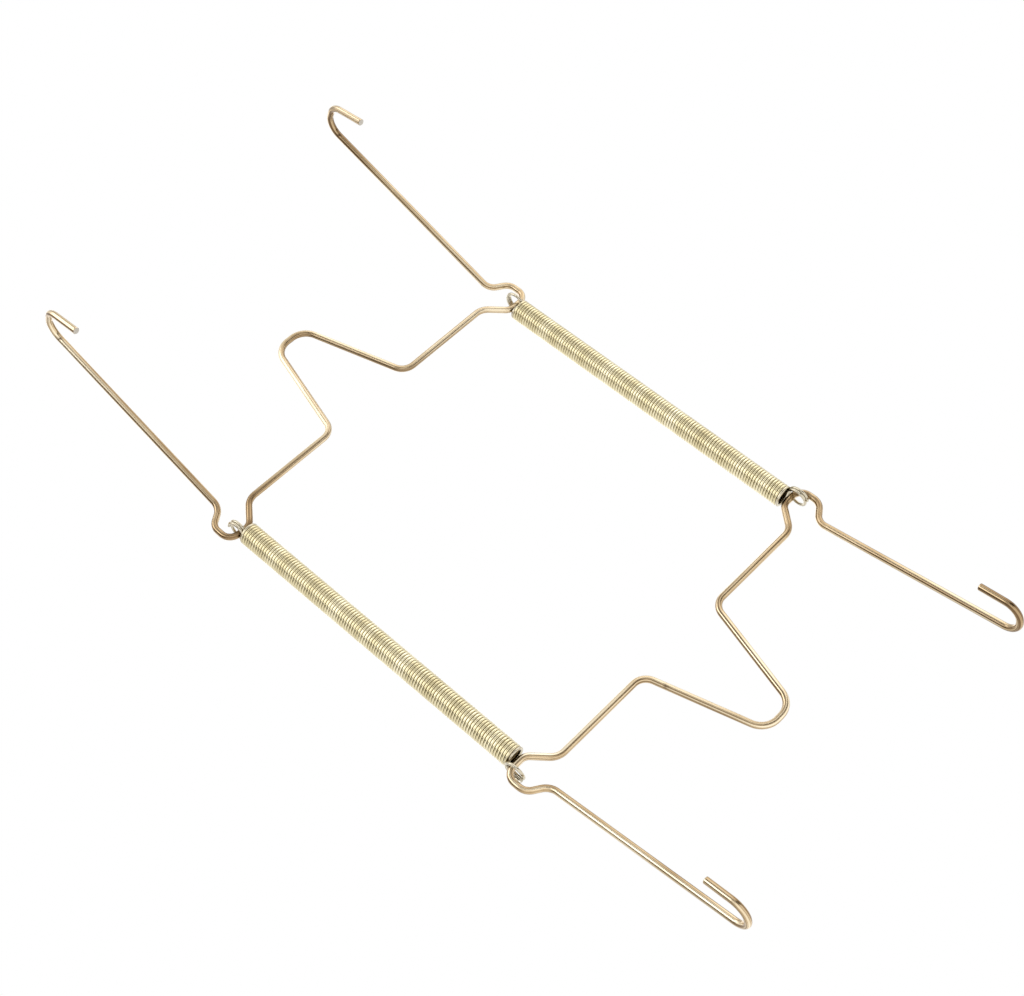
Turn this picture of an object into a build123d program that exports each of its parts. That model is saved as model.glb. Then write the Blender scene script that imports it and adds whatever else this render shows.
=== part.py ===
"""Plate hanger: two bent wire brackets drawn together by two extension springs.

Millimetres, +Z up and +X to the right as it hangs, with the hooks towards -Y.
The origin is where a nail carries the hanger: under the wire, at the top of the upper peak.
"""

import os
from math import atan, cos, pi, radians, sin, sqrt

from build123d import *

# Bracket wire and the peak that stands between its two runs
bracket_wire = 1.8
bracket_wire_sides = 12
peak_height = 30.6
peak_base = 26.6
peak_top = 9.2
peak_top_radius = 5.2
peak_corner_radius = 4.0

# Neck at each end of a run, where a spring is hooked on
arm_spacing = 98.0
neck_drop = 6.0
neck_wall_offset = 4.9
neck_floor_start = 1.6
neck_slope_start = 6.7
neck_slope_radius = 4.5
neck_inner_radius = 3.0
neck_outer_radius = 3.0

# Shoulder that brings the wire back over the neck, and the arm that rises from it
shoulder_height = 0.3
shoulder_radius = 3.5
arm_base_height = 3.6
arm_base_radius = 4.0

# Arms, their forward lean from the springs' plane, and the hook at each arm's end
upper_arm_length = 64.3
upper_lean_angle = 20.0
upper_hook_width = 9.3
upper_hook_leg = 11.3
upper_splay_angle = 26.0
lower_arm_length = 58.0
lower_lean_angle = 11.1
lower_hook_width = 8.7
lower_hook_leg = 11.1
lower_splay_angle = 3.0
hook_roundness = 0.49

# Springs: close-wound coils, each with a loop of the same wire at both ends
spring_wire = 0.8
spring_wire_sides = 8
spring_outer = 6.0
coil_turns = 114
loop_turns = 1.5
loop_pitch = 0.82
upper_loop_offset = 0.6
lower_loop_offset = 1.8
spring_outward = 0.2
end_turn_sink = 0.15
hang_clearance = 0.3

# Worked out from the sizes above
coil_radius = (spring_outer - spring_wire) / 2
sleeve_length = (coil_turns - 1) * spring_wire
end_turn_height = spring_wire / 2 - end_turn_sink
neck_over_sleeve = end_turn_height + spring_wire / 2 + hang_clearance + bracket_wire / 2
upper_run_z = bracket_wire / 2 - peak_height
upper_neck_z = upper_run_z - neck_drop
spring_middle_z = upper_neck_z - neck_over_sleeve - sleeve_length / 2
lower_run_z = 2 * spring_middle_z - upper_run_z
spring_x = arm_spacing / 2 + spring_outward


def half_outline(run_z, way, arm_length, lean_angle, hook_width, hook_leg, splay_angle):
    """Corners of the right half of a bracket, from its peak to its hook; way is 1 up or -1 down."""
    arm_x = arm_spacing / 2
    lean, splay = radians(lean_angle), radians(splay_angle)
    along = Vector(0, -sin(lean), way * cos(lean))
    forward = Vector(0, -cos(lean), -way * sin(lean))
    arm_base = Vector(arm_x, 0, run_z + way * arm_base_height)
    arm_end = arm_base + along * arm_length
    hook_turn = arm_end + forward * hook_width
    hook_tip = hook_turn - along * (hook_leg * cos(splay)) + forward * (hook_leg * sin(splay))
    return [
        Vector(peak_top / 2, 0, run_z + way * peak_height),
        Vector(peak_base / 2, 0, run_z),
        Vector(arm_x - neck_slope_start, 0, run_z),
        Vector(arm_x - neck_floor_start, 0, run_z - way * neck_drop),
        Vector(arm_x + neck_wall_offset, 0, run_z - way * neck_drop),
        Vector(arm_x + neck_wall_offset, 0, run_z + way * shoulder_height),
        arm_base,
        arm_end,
        hook_turn,
        hook_tip,
    ]


def formed_wire(path, diameter, sides):
    """A wire swept along its path; its few sides enclose the round wire's area."""
    section_radius = diameter / 2 * sqrt(2 * pi / sides / sin(2 * pi / sides))
    with BuildPart() as wire:
        with BuildSketch(Plane(origin=path @ 0, z_dir=path % 0)):
            RegularPolygon(section_radius, sides)
        sweep(path=path)
    return wire.part


def bent_bracket(run_z, way, arm_length, lean_angle, hook_width, hook_leg, splay_angle):
    """One bracket: a wire along its bent centre line, from hook tip to hook tip."""
    right = half_outline(run_z, way, arm_length, lean_angle, hook_width, hook_leg, splay_angle)
    left = [Vector(-corner.X, corner.Y, corner.Z) for corner in reversed(right)]
    hook_radius = hook_width * hook_roundness
    radii = [
        peak_top_radius,
        peak_corner_radius,
        neck_slope_radius,
        neck_inner_radius,
        neck_outer_radius,
        shoulder_radius,
        arm_base_radius,
        hook_radius,
        hook_radius,
    ]
    with BuildLine() as centre_line:
        FilletPolyline(*left, *right, radius=[*reversed(radii), *radii])
    return formed_wire(centre_line.wires()[0], bracket_wire, bracket_wire_sides)


def end_turn(end, loop_x):
    """Centre line of the wire from the last coil's wall across to the foot of the loop."""
    crossing_radius = (coil_radius + loop_x) / 2
    with BuildLine(end.offset(end_turn_height)) as turn:
        CenterArc((crossing_radius - coil_radius, 0), crossing_radius, 180, 180)
    return turn.line


def hang_loop(end, loop_x):
    """Centre line of the loop, which rises from the end turn without a kink."""
    lead = atan(loop_pitch / (2 * pi * coil_radius))
    centre = end.from_local_coords((loop_x, 0, end_turn_height + coil_radius))
    axis = end.x_dir * cos(lead) + end.y_dir * sin(lead)
    upright = Plane(origin=centre, x_dir=-end.z_dir, z_dir=axis)
    with BuildLine() as loop:
        coil = Helix(loop_pitch, loop_pitch * loop_turns, coil_radius, mode=Mode.PRIVATE)
        add(coil.moved(upright.location))
    return loop.line


def spring_form():
    """A spring about the Z axis: its coils as a hollow sleeve, with a wire loop at each end."""
    top = Plane.XY.offset(sleeve_length / 2)
    bottom = Plane(origin=(0, 0, -sleeve_length / 2), x_dir=(1, 0, 0), z_dir=(0, 0, -1))
    with BuildPart() as spring:
        with BuildSketch(bottom):
            Circle(spring_outer / 2)
            Circle(spring_outer / 2 - spring_wire, mode=Mode.SUBTRACT)
        extrude(amount=-sleeve_length)
        for end, loop_x in [(top, upper_loop_offset), (bottom, lower_loop_offset)]:
            with BuildLine() as centre_line:
                add(end_turn(end, loop_x))
                add(hang_loop(end, loop_x))
            add(formed_wire(centre_line.wires()[0], spring_wire, spring_wire_sides))
    return spring.part


os.makedirs("parts", exist_ok=True)

with BuildPart() as upper_bracket:
    add(
        bent_bracket(
            upper_run_z,
            1,
            upper_arm_length,
            upper_lean_angle,
            upper_hook_width,
            upper_hook_leg,
            upper_splay_angle,
        )
    )
upper_bracket.part.label = "upper_bracket"
export_step(upper_bracket.part, "parts/upper_bracket.step")

with BuildPart() as lower_bracket:
    add(
        bent_bracket(
            lower_run_z,
            -1,
            lower_arm_length,
            lower_lean_angle,
            lower_hook_width,
            lower_hook_leg,
            lower_splay_angle,
        )
    )
lower_bracket.part.label = "lower_bracket"
export_step(lower_bracket.part, "parts/lower_bracket.step")

with BuildPart() as right_spring:
    with Locations((spring_x, 0, spring_middle_z)):
        add(spring_form())
right_spring.part.label = "right_spring"
export_step(right_spring.part, "parts/right_spring.step")

with BuildPart() as left_spring:
    with Locations(Location((-spring_x, 0, spring_middle_z), (0, 0, 180))):
        add(spring_form())
left_spring.part.label = "left_spring"
export_step(left_spring.part, "parts/left_spring.step")
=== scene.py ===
"""Sprung wire plate hanger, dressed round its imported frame.

+Z is up as it hangs, and the hooks point towards -Y. Sizes and lines of the wires are in
millimetres, up to the meshes; the meshes and the studio are in metres.
"""

import math

import bpy
import numpy as np
from mathutils import Matrix, Vector


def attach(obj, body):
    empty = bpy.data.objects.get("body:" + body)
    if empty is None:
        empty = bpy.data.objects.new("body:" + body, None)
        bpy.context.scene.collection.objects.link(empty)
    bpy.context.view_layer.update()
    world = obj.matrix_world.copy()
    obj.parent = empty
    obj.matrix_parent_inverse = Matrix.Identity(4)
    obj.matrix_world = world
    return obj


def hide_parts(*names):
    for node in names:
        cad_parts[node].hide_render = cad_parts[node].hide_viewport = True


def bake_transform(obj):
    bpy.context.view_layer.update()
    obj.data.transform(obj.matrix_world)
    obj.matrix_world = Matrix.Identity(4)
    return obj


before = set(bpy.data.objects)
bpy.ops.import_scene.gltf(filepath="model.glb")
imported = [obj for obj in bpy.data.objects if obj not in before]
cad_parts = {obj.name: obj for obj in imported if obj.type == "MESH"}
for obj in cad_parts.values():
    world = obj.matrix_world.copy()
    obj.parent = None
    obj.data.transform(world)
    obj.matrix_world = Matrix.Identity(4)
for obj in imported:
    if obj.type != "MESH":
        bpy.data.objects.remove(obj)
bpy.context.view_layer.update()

MM = 0.001

# Bracket wire and its bends, millimetres and degrees
BRACKET_WIRE = 1.8
PEAK_HEIGHT = 30.6
PEAK_BASE = 26.6
PEAK_TOP = 9.2
ARM_SPACING = 98.0
NECK_DROP = 6.0
NECK_WALL = 4.9
NECK_FLOOR = 1.6
NECK_SLOPE = 6.7
SHOULDER_HEIGHT = 0.3
ARM_BASE = 3.6
# From the top of the peak outward to the foot of the arm
BEND_RADII = [5.2, 4.0, 4.5, 3.0, 3.0, 3.5, 4.0]
HOOK_ROUNDNESS = 0.49
UPPER_HOOK = {"arm": 64.3, "lean": 20.0, "width": 9.3, "leg": 11.3, "splay": 26.0}
LOWER_HOOK = {"arm": 58.0, "lean": 11.1, "width": 8.7, "leg": 11.1, "splay": 3.0}

# Springs, millimetres
SPRING_WIRE = 0.8
COIL_RADIUS = 2.6
COIL_TURNS = 114
SLEEVE = (COIL_TURNS - 1) * SPRING_WIRE
END_TURN = 0.25
LOOP_TURNS = 1.5
LOOP_PITCH = 0.82
UPPER_LOOP_OFFSET = 0.6
LOWER_LOOP_OFFSET = 1.8
HANG_CLEARANCE = 0.3
SPRING_OUTWARD = 0.2

# Where the runs and the springs stand, millimetres
SPRING_X = ARM_SPACING / 2 + SPRING_OUTWARD
NECK_OVER_SLEEVE = END_TURN + SPRING_WIRE / 2 + HANG_CLEARANCE + BRACKET_WIRE / 2
UPPER_RUN_Z = BRACKET_WIRE / 2 - PEAK_HEIGHT
SPRING_MIDDLE_Z = UPPER_RUN_Z - NECK_DROP - NECK_OVER_SLEEVE - SLEEVE / 2
LOWER_RUN_Z = 2 * SPRING_MIDDLE_Z - UPPER_RUN_Z

# How finely the wires are drawn, millimetres and counts
WIRE_STEP = 0.4
ARC_STEP_SHARE = 0.45
BRACKET_SIDES = 28
SPRING_SIDES = 12
STEPS_PER_TURN = 30

# Marks of the bending and cutting, millimetres and shares
CUT_BEVEL = 0.12
TIGHT_BEND_RADIUS = 2.2
BEND_BLUR = 5
BEND_FLATTENING = 0.05
STRAIGHT = 1e-6
NICK_LENGTH = 0.5
NICK_DEPTH = 0.1
NICK_NARROWNESS = 6
NICK_FACING = np.array((-0.4, -0.8, -0.45))
UPPER_NICKS = [(-49.0, -20.4, 30.0), (49.0, -20.4, 30.0)]
LOWER_NICKS = [(-11.6, 0.0, -141.8)]

# Plating and painted light: feature sizes in millimetres along and across the wire, tones and
# colours
WIRE_STREAKS = (70.0, 0.8, 0.8)
WIRE_LINES = (120.0, 0.3, 0.3)
WIRE_PATCHES = (16.0, 3.0, 3.0)
SPRING_STREAKS = (400.0, 0.5, 0.5)
SPRING_PATCHES = (90.0, 2.5, 2.5)
WIRE_TONES = [
    (0.34, (0.20, 0.125, 0.062)),
    (0.43, (0.41, 0.295, 0.165)),
    (0.51, (0.60, 0.475, 0.305)),
    (0.62, (0.78, 0.68, 0.50)),
]
SPRING_TONES = [
    (0.36, (0.54, 0.46, 0.26)),
    (0.50, (0.69, 0.61, 0.39)),
    (0.64, (0.82, 0.75, 0.54)),
]
# Brown of the dark lines: drawn lines in the plating, darkened as a painted reflection of dark
# surroundings
DRAWN_LINE_AND_REFLECTION_BROWN = (0.12, 0.07, 0.033, 1)
DENT_BROWN = (0.07, 0.04, 0.02, 1)
CUT_END_GREY = (0.46, 0.43, 0.38, 1)
LOOP_GREY = (0.45, 0.41, 0.34, 1)
# Painted shade where the spring's turns touch and on the inside of the coil
GROOVE_SHADE_OLIVE = (0.17, 0.125, 0.055, 1)

# Studio, metres and shares of white
FLOOR_SIZE = 6.0
FLOOR_Z = -0.335
FLOOR_GLOW = 0.56
PAPER = (0.86, 0.86, 0.86, 1)
ROOM_LIGHT = 0.5
SCREEN_CLOTH = (0.12, 0.105, 0.09, 1)
# Name, place, size and watts of each lamp
LAMPS = [
    ("key_lamp", (-0.55, -0.75, 0.75), 1.4, 10),
    ("fill_lamp", (0.9, -0.5, 0.3), 1.1, 4),
    ("back_lamp", (0.2, 0.9, 0.6), 1.1, 4),
]
# Name, turn and tilt in degrees, distance, width and height of each screen
SCREENS = [
    ("front_screen", -104, 24, 0.7, 0.24, 0.56),
    ("left_screen", -168, 24, 0.7, 0.36, 0.56),
    ("low_screen", -64, -30, 0.42, 0.5, 0.26),
]

# Camera: metres, and millimetres for the lens
CAMERA_PLACE = (-0.18324, -0.38379, -0.26568)
VIEW_RIGHT = (0.68667, 0.02154, -0.72665)
VIEW_UP = (0.607282, -0.566457, 0.557077)
VIEW_BACK = (-0.399617, -0.82381, -0.40205)
LENS = 65.132
SENSOR_WIDTH = 36
NEAREST, FARTHEST = 0.01, 20


# ---- Wire lines: points in millimetres, one row each ----


def bracket_corners(run_z, way, hook):
    """Corners of the right half of a bracket, from its peak to its hook tip."""
    lean, splay = math.radians(hook["lean"]), math.radians(hook["splay"])
    along = np.array([0, -math.sin(lean), way * math.cos(lean)])
    forward = np.array([0, -math.cos(lean), -way * math.sin(lean)])
    arm_x = ARM_SPACING / 2
    arm_base = np.array([arm_x, 0, run_z + way * ARM_BASE])
    arm_end = arm_base + along * hook["arm"]
    hook_turn = arm_end + forward * hook["width"]
    leg_back, leg_out = hook["leg"] * math.cos(splay), hook["leg"] * math.sin(splay)
    hook_tip = hook_turn - along * leg_back + forward * leg_out
    flat = [
        (PEAK_TOP / 2, PEAK_HEIGHT),
        (PEAK_BASE / 2, 0),
        (arm_x - NECK_SLOPE, 0),
        (arm_x - NECK_FLOOR, -NECK_DROP),
        (arm_x + NECK_WALL, -NECK_DROP),
        (arm_x + NECK_WALL, SHOULDER_HEIGHT),
    ]
    corners = [np.array([x, 0, run_z + way * up]) for x, up in flat]
    return corners + [arm_base, arm_end, hook_turn, hook_tip]


def bent_line(corners, radii, step):
    """Points along straight runs and the arcs that round their corners, at most step apart.

    Returns the points and, for each, how sharply the line bends there:
    0 on a run, 1 over its radius on an arc.
    """
    points, bends = [corners[0]], [0.0]

    def run_to(end):
        start = points[-1]
        count = max(1, math.ceil(np.linalg.norm(end - start) / step))
        for k in range(1, count + 1):
            points.append(start + (end - start) * k / count)
            bends.append(0.0)

    for before, corner, after, radius in zip(corners, corners[1:], corners[2:], radii):
        to_before = (before - corner) / np.linalg.norm(before - corner)
        to_after = (after - corner) / np.linalg.norm(after - corner)
        half = math.acos(np.clip(to_before @ to_after, -1, 1)) / 2
        reach = radius / math.tan(half)
        run_to(corner + to_before * reach)
        middle = to_before + to_after
        centre = corner + middle / np.linalg.norm(middle) * radius / math.sin(half)
        first = points[-1] - centre
        last = (corner + to_after * reach) - centre
        turn = math.pi - 2 * half
        count = max(2, math.ceil(radius * turn / (step * ARC_STEP_SHARE)))
        for k in range(1, count + 1):
            share = k / count
            swung = math.sin((1 - share) * turn) * first + math.sin(share * turn) * last
            points.append(centre + swung / math.sin(turn))
            bends.append(1 / radius if k < count else 0.0)
    run_to(corners[-1])
    return np.array(points), np.array(bends)


def bracket_line(run_z, way, hook):
    """Centre line of a whole bracket, from its left hook tip to its right one."""
    right = bracket_corners(run_z, way, hook)
    left = [corner * (-1, 1, 1) for corner in reversed(right)]
    radii = BEND_RADII + [hook["width"] * HOOK_ROUNDNESS] * 2
    return bent_line(left + right, radii[::-1] + radii, WIRE_STEP)


def end_turn_and_loop(end_z, way, loop_x):
    """Points from the coil's wall across the spring's end and once and a half round its loop."""
    swing = (COIL_RADIUS + loop_x) / 2
    height = end_z + way * END_TURN
    points = []
    for k in range(STEPS_PER_TURN // 2):
        angle = math.pi + math.tau * k / STEPS_PER_TURN
        x = swing - COIL_RADIUS + swing * math.cos(angle)
        points.append((x, way * swing * math.sin(angle), height))
    lead = math.atan(LOOP_PITCH / (math.tau * COIL_RADIUS))
    axis = np.array([math.cos(lead), way * math.sin(lead), 0])
    down = np.array([0, 0, -way])
    across = np.cross(axis, down)
    centre = np.array([loop_x, 0, height + way * COIL_RADIUS])
    for k in range(int(STEPS_PER_TURN * LOOP_TURNS) + 1):
        angle = math.tau * k / STEPS_PER_TURN
        rise = LOOP_PITCH * k / STEPS_PER_TURN
        spoke = math.cos(angle) * down + math.sin(angle) * across
        points.append(centre + COIL_RADIUS * spoke + rise * axis)
    return np.array(points)


def spring_line():
    """Centre line of a spring about the Z axis: lower loop, coils, upper loop."""
    lower = end_turn_and_loop(-SLEEVE / 2, -1, LOWER_LOOP_OFFSET)[::-1]
    upper = end_turn_and_loop(SLEEVE / 2, 1, UPPER_LOOP_OFFSET)
    steps = COIL_TURNS * STEPS_PER_TURN
    turn = np.arange(1, steps) / steps
    angle = math.pi + math.tau * COIL_TURNS * turn
    height = (SLEEVE + 2 * END_TURN) * (turn - 0.5)
    coil = np.stack([COIL_RADIUS * np.cos(angle), COIL_RADIUS * np.sin(angle), height], axis=1)
    return np.concatenate([lower, coil, upper])


# ---- Nodes ----


class Tone:
    """A value or colour that varies over a surface; sums and products add the nodes they need."""

    def __init__(self, nodes, socket):
        self.nodes, self.socket = nodes, socket

    def _joined(self, operation, left, right):
        return self.nodes.node("ShaderNodeMath", {"operation": operation}, {0: left, 1: right})

    def __add__(self, other):
        return self._joined("ADD", self, other)

    def __sub__(self, other):
        return self._joined("SUBTRACT", self, other)

    def __rsub__(self, other):
        return self._joined("SUBTRACT", other, self)

    def __mul__(self, other):
        return self._joined("MULTIPLY", self, other)

    def __truediv__(self, other):
        return self._joined("DIVIDE", self, other)

    __radd__, __rmul__ = __add__, __mul__


class Nodes:
    """The nodes of one tree; every node but the sums comes from one method."""

    def __init__(self, tree):
        self.tree = tree

    def node(self, kind, settings=(), sockets=(), out=0):
        """Adds a node: settings, stops or a kept field, then sockets; gives back one output."""
        made = self.tree.nodes.new(kind)
        for key, value in dict(settings).items():
            if key == "stops":
                ramp = made.color_ramp
                while len(ramp.elements) < len(value):
                    ramp.elements.new(0.5)
                for element, (place, colour) in zip(ramp.elements, value):
                    element.position, element.color = place, (*colour, 1)
            elif key == "kept":
                made.capture_items.new(value, key)
            else:
                setattr(made, key, value)
        for key, value in dict(sockets).items():
            if isinstance(value, Tone):
                self.tree.links.new(value.socket, made.inputs[key])
            else:
                made.inputs[key].default_value = value
        return Tone(self, made.outputs[out])

    def beside(self, tone, out):
        """Another output of the node that a tone comes from."""
        return Tone(self, tone.socket.node.outputs[out])


class Rounding(Nodes):
    """The nodes that turn a line of edges into a round wire."""

    def vector_maths(self, operation, first, second, out=0):
        second_socket = "Scale" if operation == "SCALE" else 1
        return self.node(
            "ShaderNodeVectorMath", {"operation": operation}, {0: first, second_socket: second}, out
        )

    def captured(self, geometry, field, kind):
        """The geometry with the field kept on it, and the kept field."""
        geometry = self.node(
            "GeometryNodeCaptureAttribute", {"kept": kind}, {0: geometry, 1: field}
        )
        return geometry, self.beside(geometry, 1)

    def stored(self, geometry, name, kind, field):
        return self.node(
            "GeometryNodeStoreNamedAttribute",
            {"data_type": kind, "domain": "POINT"},
            {"Geometry": geometry, "Name": name, "Value": field},
        )

    def towards_bend(self, spot):
        """Direction from each point of the line to the inside of its bend."""
        index = self.node("GeometryNodeInputIndex")
        before, after = [
            self.node(
                "GeometryNodeFieldAtIndex",
                {"data_type": "FLOAT_VECTOR", "domain": "POINT"},
                {"Index": index + step, "Value": spot},
            )
            for step in (-1, 1)
        ]
        between = self.vector_maths("SCALE", self.vector_maths("ADD", before, after), 0.5)
        inward = self.vector_maths("SUBTRACT", between, spot)
        return self.node("ShaderNodeVectorMath", {"operation": "NORMALIZE"}, {0: inward})


class Shading(Nodes):
    """The nodes of one finish or of the studio."""

    def attribute(self, name, out="Fac"):
        return self.node("ShaderNodeAttribute", {"attribute_name": name}, out=out)

    def ramp(self, factor, stops):
        return self.node("ShaderNodeValToRGB", {"stops": stops}, {0: factor}, "Color")

    def band(self, value, low, high):
        """0 below low, 1 above high, smooth between."""
        return self.node(
            "ShaderNodeMapRange",
            {"interpolation_type": "SMOOTHSTEP"},
            {"Value": value, "From Min": low, "From Max": high},
        )

    def noise(self, place, stretch, detail, rough):
        """Noise of a place in millimetres, stretched by its feature size along each axis."""
        scaled = self.node(
            "ShaderNodeVectorMath",
            {"operation": "MULTIPLY"},
            {0: place, 1: [1 / size for size in stretch]},
        )
        return self.node(
            "ShaderNodeTexNoise",
            {},
            {"Vector": scaled, "Scale": 1.0, "Detail": detail, "Roughness": rough},
        )

    def blended(self, factor, first, second):
        return self.node(
            "ShaderNodeMix",
            {"data_type": "RGBA"},
            {0: factor, 6: first, 7: second},
            2,
        )

    def bump(self, height, distance, strength):
        """Relief from a height, its distance in millimetres."""
        return self.node(
            "ShaderNodeBump",
            {},
            {"Height": height, "Distance": distance * MM, "Strength": strength},
        )

    def seen(self):
        """1 where the camera, a reflection or clear matter looks, 0 where light falls."""
        kinds = ("Camera", "Glossy", "Transmission")
        return sum(self.node("ShaderNodeLightPath", out=f"Is {kind} Ray") for kind in kinds)


class Finish(Shading):
    """One material, with its principled shader; constants go on the shader, tones are linked."""

    def __init__(self, name, **constants):
        self.material = bpy.data.materials.new(name)
        self.material.use_nodes = True
        super().__init__(self.material.node_tree)
        self.shader = self.tree.nodes["Principled BSDF"]
        self.wear(**constants)

    def wear(self, **values):
        """Sets or links the shader's sockets; base_color stands for the socket Base Color."""
        for key, value in values.items():
            socket = self.shader.inputs[key.replace("_", " ").title().replace("Ior", "IOR")]
            if isinstance(value, Tone):
                self.tree.links.new(value.socket, socket)
            else:
                socket.default_value = value


# ---- Wire meshes ----


def placed(name, data):
    """A new object in the scene."""
    piece = bpy.data.objects.new(name, data)
    bpy.context.scene.collection.objects.link(piece)
    return piece


def ring_frames(points):
    """Unit tangents and two cross directions at each point, carried along without twist."""
    tangents = np.gradient(points, axis=0)
    tangents /= np.linalg.norm(tangents, axis=1)[:, None]
    first = np.cross(tangents[0], (1.0, 0.0, 0.0))
    across = [first / np.linalg.norm(first)]
    for tangent in tangents[1:]:
        carried = across[-1] - (across[-1] @ tangent) * tangent
        across.append(carried / np.linalg.norm(carried))
    across = np.array(across)
    return tangents, across, np.cross(tangents, across)


def ends_bevelled(points, bends, radius):
    """The line with an extra point near each cut end, its bends, and each point's thickness."""
    first, last = points[0] - points[1], points[-1] - points[-2]
    near_first = points[0] - first / np.linalg.norm(first) * CUT_BEVEL
    near_last = points[-1] - last / np.linalg.norm(last) * CUT_BEVEL
    line = np.concatenate([points[:1], [near_first], points[1:-1], [near_last], points[-1:]])
    thickness = np.full(len(line), radius)
    thickness[[0, -1]] = radius - CUT_BEVEL
    return line, np.concatenate([[0, 0], bends[1:-1], [0, 0]]), thickness


def tube_faces(rings, sides):
    """Faces of a tube: a square between each pair of neighbours, then a cap at each end."""
    faces = []
    for ring in range(rings - 1):
        for side in range(sides):
            a, b = ring * sides + side, ring * sides + (side + 1) % sides
            faces.append((a, b, b + sides, a + sides))
    faces.append(tuple(range(sides))[::-1])
    faces.append(tuple(range((rings - 1) * sides, rings * sides)))
    return faces


def bracket_object(name, points, bends, nicks):
    """Round wire along the points, a little flattened in its bends, with small dents."""
    points, bends, thickness = ends_bevelled(points, bends, BRACKET_WIRE / 2)
    tangents, across, up = ring_frames(points)
    angles = np.arange(BRACKET_SIDES) * math.tau / BRACKET_SIDES
    around = np.stack([np.cos(angles), np.sin(angles)], axis=1)
    spread = around[None, :, :1] * across[:, None] + around[None, :, 1:] * up[:, None]
    inward = np.gradient(tangents, axis=0)
    inward /= np.maximum(np.linalg.norm(inward, axis=1), STRAIGHT)[:, None]
    tightness = np.convolve(bends, np.ones(BEND_BLUR) / BEND_BLUR, mode="same") * TIGHT_BEND_RADIUS
    towards = np.einsum("nsk,nk->ns", spread, inward)
    flattened = (BEND_FLATTENING * tightness)[:, None, None] * towards[:, :, None]
    spread = spread - flattened * inward[:, None]

    steps = np.linalg.norm(np.diff(points, axis=0), axis=1)
    along = np.concatenate([[0], np.cumsum(steps)])
    facing = np.clip(spread @ (NICK_FACING / np.linalg.norm(NICK_FACING)), 0, 1) ** NICK_NARROWNESS
    depth, dent = np.zeros(facing.shape), np.zeros(facing.shape)
    for spot in nicks:
        place = along[np.argmin(np.linalg.norm(points - spot, axis=1))]
        hit = np.exp(-(((along - place) / NICK_LENGTH) ** 2))[:, None] * facing
        depth += NICK_DEPTH * hit
        dent = np.maximum(dent, hit)
    skin = points[:, None] + spread * (thickness[:, None] - depth)[:, :, None]

    count = len(points)
    faces = tube_faces(count, BRACKET_SIDES)
    mesh = bpy.data.meshes.new(name)
    mesh.from_pydata((skin.reshape(-1, 3) * MM).tolist(), [], faces)
    mesh.polygons.foreach_set("use_smooth", [True] * (len(faces) - 2) + [False] * 2)
    cut = np.zeros(count)
    cut[[0, -1]] = 1
    ring_points = np.tile(around * BRACKET_WIRE / 2, (count, 1))
    wire_point = np.column_stack([np.repeat(along, BRACKET_SIDES), ring_points])
    for attribute, kind, field, values in [
        ("wire_point", "FLOAT_VECTOR", "vector", wire_point),
        ("bent", "FLOAT", "value", np.repeat(tightness, BRACKET_SIDES)),
        ("cut_end", "FLOAT", "value", np.repeat(cut, BRACKET_SIDES)),
        ("dent", "FLOAT", "value", dent),
    ]:
        layer = mesh.attributes.new(attribute, kind, "POINT")
        layer.data.foreach_set(field, values.astype(np.float32).ravel())
    mesh.update()
    return placed(name, mesh)


def spring_object(name, points, rounding):
    """A spring's centre line as edges; the modifier makes it a round wire."""
    mesh = bpy.data.meshes.new(name)
    edges = [(k, k + 1) for k in range(len(points) - 1)]
    mesh.from_pydata((points * MM).tolist(), edges, [])
    past_end = np.abs(points[:, 2] - SPRING_MIDDLE_Z) - (SLEEVE / 2 + END_TURN)
    in_coil = np.clip(-past_end / SPRING_WIRE, 0, 1).astype(np.float32)
    mesh.attributes.new("in_coil", "FLOAT", "POINT").data.foreach_set("value", in_coil)
    piece = placed(name, mesh)
    piece.modifiers.new("round_wire", "NODES").node_group = rounding
    return piece


def wire_rounding(name, radius, sides, material):
    """Node group that turns a line of edges into a round wire with closed ends.

    It stores wire_point, the place along and across the wire in millimetres, and facing_in,
    which is 1 on the side towards the inside of the bend and -1 on the other.
    """
    group = bpy.data.node_groups.new(name, "GeometryNodeTree")
    for way in ("INPUT", "OUTPUT"):
        group.interface.new_socket("Geometry", in_out=way, socket_type="NodeSocketGeometry")
    nodes = Rounding(group)
    spot = nodes.node("GeometryNodeInputPosition")
    line = nodes.node("GeometryNodeMeshToCurve", {}, {0: nodes.node("NodeGroupInput")})
    length = nodes.node("GeometryNodeSplineParameter", out="Length")
    line, along = nodes.captured(line, length, "FLOAT")
    line, inward = nodes.captured(line, nodes.towards_bend(spot), "VECTOR")
    line, centre = nodes.captured(line, spot, "VECTOR")
    ring = nodes.node(
        "GeometryNodeCurvePrimitiveCircle", {}, {"Resolution": sides, "Radius": radius}
    )
    ring, around = nodes.captured(ring, spot, "VECTOR")
    tube = nodes.node(
        "GeometryNodeCurveToMesh", {}, {"Curve": line, "Profile Curve": ring, "Fill Caps": True}
    )
    around_x = nodes.node("ShaderNodeSeparateXYZ", {}, {0: around})
    around_y = nodes.beside(around_x, 1)
    place = nodes.node("ShaderNodeCombineXYZ", {}, {"X": along, "Y": around_x, "Z": around_y})
    wire_point = nodes.vector_maths("SCALE", place, 1 / MM)
    tube = nodes.stored(tube, "wire_point", "FLOAT_VECTOR", wire_point)
    reach = nodes.vector_maths("SUBTRACT", spot, centre)
    facing_in = nodes.vector_maths("DOT_PRODUCT", reach, inward, "Value") / radius
    tube = nodes.stored(tube, "facing_in", "FLOAT", facing_in)
    tube = nodes.node("GeometryNodeSetMaterial", {}, {"Geometry": tube, "Material": material})
    group.links.new(tube.socket, group.nodes.new("NodeGroupOutput").inputs[0])
    return group


# ---- Finishes ----


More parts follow.
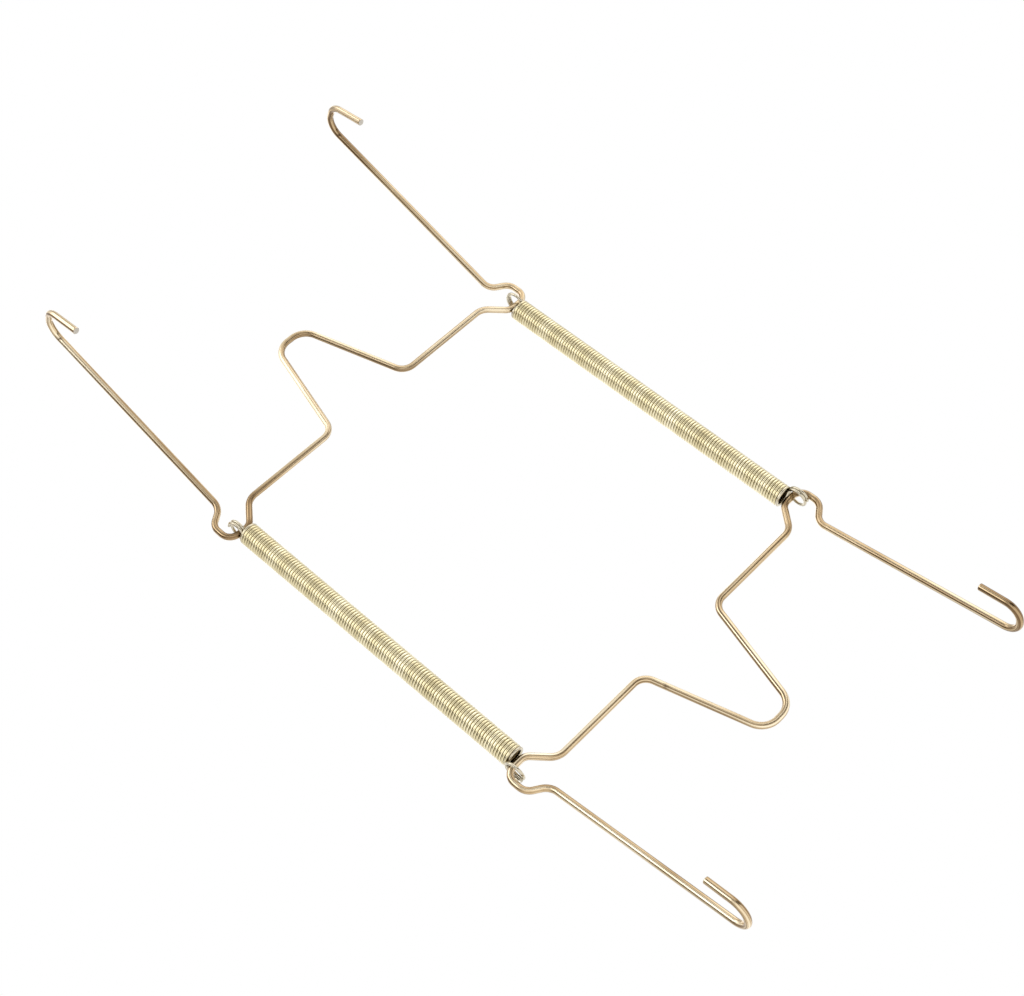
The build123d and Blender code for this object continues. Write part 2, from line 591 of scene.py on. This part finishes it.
def antique_wire():
    """Drawn steel wire with antique brass plating: long streaks, dark lines that are drawn lines
    and a painted reflection of dark surroundings, grey cut ends.
    """
    finish = Finish("antique_brass_wire", metallic=1.0)
    place = finish.attribute("wire_point", "Vector")
    bent = finish.attribute("bent")
    streaks = finish.noise(place, WIRE_STREAKS, detail=1.0, rough=0.4)
    drawn_lines = finish.noise(place, WIRE_LINES, detail=1.0, rough=0.4)
    patches = finish.noise(place, WIRE_PATCHES, detail=2.0, rough=0.5)
    tone = streaks * 0.5 + drawn_lines * 0.25 + patches * 0.25 - bent * 0.06
    colour = finish.ramp(tone, WIRE_TONES)
    # Dark lines wandering round the wire: drawn lines, and a painted reflection of the dark side of
    # the studio
    dark_line_and_reflection = finish.band(drawn_lines, low=0.46, high=0.37) * 0.7
    cut = finish.attribute("cut_end")
    colour = finish.blended(dark_line_and_reflection, colour, DRAWN_LINE_AND_REFLECTION_BROWN)
    colour = finish.blended(finish.attribute("dent"), colour, DENT_BROWN)
    colour = finish.blended(cut, colour, CUT_END_GREY)
    roughness = 0.16 + 0.12 * patches + 0.08 * bent + 0.25 * cut
    relief = finish.bump(drawn_lines, distance=0.01, strength=0.25)
    finish.wear(base_color=colour, roughness=roughness, normal=relief)
    return finish.material


def pale_spring_wire():
    """Spring wire with pale brass plating: painted olive-brown shade where the turns touch and
    inside the coil, greyer in the loops.
    """
    finish = Finish("pale_brass_spring_wire", metallic=1.0)
    place = finish.attribute("wire_point", "Vector")
    in_coil = finish.attribute("in_coil")
    streaks = finish.noise(place, SPRING_STREAKS, detail=1.0, rough=0.5)
    patches = finish.noise(place, SPRING_PATCHES, detail=2.0, rough=0.5)
    colour = finish.ramp(streaks * 0.5 + patches * 0.5, SPRING_TONES)
    # Painted shade: olive brown on the side of the wire that faces into the coil and where the
    # turns touch
    groove_shade = finish.band(finish.attribute("facing_in"), low=-0.80, high=-0.15) * in_coil
    colour = finish.blended((1 - in_coil) * 0.75, colour, LOOP_GREY)
    colour = finish.blended(groove_shade, colour, GROOVE_SHADE_OLIVE)
    roughness = 0.15 + 0.12 * patches
    relief = finish.bump(streaks, distance=0.006, strength=0.2)
    finish.wear(base_color=colour, roughness=roughness, normal=relief)
    return finish.material


# ---- Pieces ----

bracket_finish = antique_wire()
for name, run_z, way, hook, nicks in [
    ("upper_bracket", UPPER_RUN_Z, 1, UPPER_HOOK, UPPER_NICKS),
    ("lower_bracket", LOWER_RUN_Z, -1, LOWER_HOOK, LOWER_NICKS),
]:
    points, bends = bracket_line(run_z, way, hook)
    piece = bracket_object(name + "_wire", points, bends, nicks)
    piece.data.materials.append(bracket_finish)
    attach(piece, name)
    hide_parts(name)

rounding = wire_rounding(
    "round_spring_wire", SPRING_WIRE / 2 * MM, SPRING_SIDES, pale_spring_wire()
)
sleeve_top, sleeve_foot = SPRING_MIDDLE_Z + SLEEVE / 2, SPRING_MIDDLE_Z - SLEEVE / 2
for name, side in [("left_spring", -1), ("right_spring", 1)]:
    points = spring_line() * (side, side, 1) + (side * SPRING_X, 0, SPRING_MIDDLE_Z)
    piece = spring_object(name + "_coils", points, rounding)
    sleeve_top * MM
    sleeve_foot * MM
    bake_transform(piece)
    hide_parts(name)


# ---- Floor, light and camera ----


def paper_white():
    """Pale paper: white as the camera and polished metal see it, and still darkened by a shadow."""
    finish = Finish("white_paper", base_color=PAPER, roughness=0.9)
    glow = finish.seen() * FLOOR_GLOW
    glow = finish.node("ShaderNodeCombineColor", {}, {0: glow, 1: glow, 2: glow})
    finish.wear(emission_color=glow, emission_strength=1.0)
    return finish.material


def studio_world():
    """Even white surroundings for the camera and for reflections, softer as a light."""
    world = bpy.data.worlds.new("white_studio")
    world.use_nodes = True
    studio = Shading(world.node_tree)
    strength = ROOM_LIGHT + (1 - ROOM_LIGHT) * studio.seen()
    surroundings = world.node_tree.nodes["Background"]
    surroundings.inputs["Color"].default_value = (1, 1, 1, 1)
    studio.tree.links.new(strength.socket, surroundings.inputs["Strength"])
    bpy.context.scene.world = world


def sheet(name, width, height, material):
    """A flat rectangle about its own middle."""
    x, y = width / 2, height / 2
    mesh = bpy.data.meshes.new(name)
    mesh.from_pydata([(-x, -y, 0), (x, -y, 0), (x, y, 0), (-x, y, 0)], [], [(0, 1, 2, 3)])
    mesh.materials.append(material)
    return placed(name, mesh)


def dark_screen(name, turn, tilt, distance, width, height):
    """A dark screen that only reflections show; turn and tilt in degrees give its direction."""
    turn, tilt = math.radians(turn), math.radians(tilt)
    level = math.cos(tilt)
    towards = Vector((level * math.cos(turn), level * math.sin(turn), math.sin(tilt)))
    cloth = Finish(name + "_cloth", base_color=SCREEN_CLOTH, roughness=1.0, specular_ior_level=0.0)
    screen = sheet(name, width, height, cloth.material)
    screen.location = middle + distance * towards
    screen.rotation_euler = towards.to_track_quat("-Z", "Y").to_euler()
    for kind in ("camera", "diffuse", "shadow", "transmission", "volume_scatter"):
        setattr(screen, "visible_" + kind, False)


def softbox(name, place, size, watts):
    """A square studio lamp at a place, turned to the middle of the hanger."""
    lamp = bpy.data.lights.new(name, "AREA")
    lamp.size, lamp.energy = size, watts
    box = placed(name, lamp)
    box.location = place
    box.rotation_euler = (middle - Vector(place)).to_track_quat("-Z", "Y").to_euler()
    box.visible_camera = False


middle = Vector((0, 0, SPRING_MIDDLE_Z * MM))
floor = sheet("floor", FLOOR_SIZE, FLOOR_SIZE, paper_white())
floor.location.z = FLOOR_Z
studio_world()
for lamp in LAMPS:
    softbox(*lamp)
for screen in SCREENS:
    dark_screen(*screen)

lens = bpy.data.cameras.new("camera")
lens.lens, lens.sensor_width, lens.sensor_fit = LENS, SENSOR_WIDTH, "HORIZONTAL"
lens.clip_start, lens.clip_end = NEAREST, FARTHEST
camera = placed("camera", lens)
turned = Matrix((VIEW_RIGHT, VIEW_UP, VIEW_BACK)).transposed().to_4x4()
camera.matrix_world = Matrix.Translation(CAMERA_PLACE) @ turned
bpy.context.scene.camera = camera
bpy.context.scene.view_settings.view_transform = "Standard"
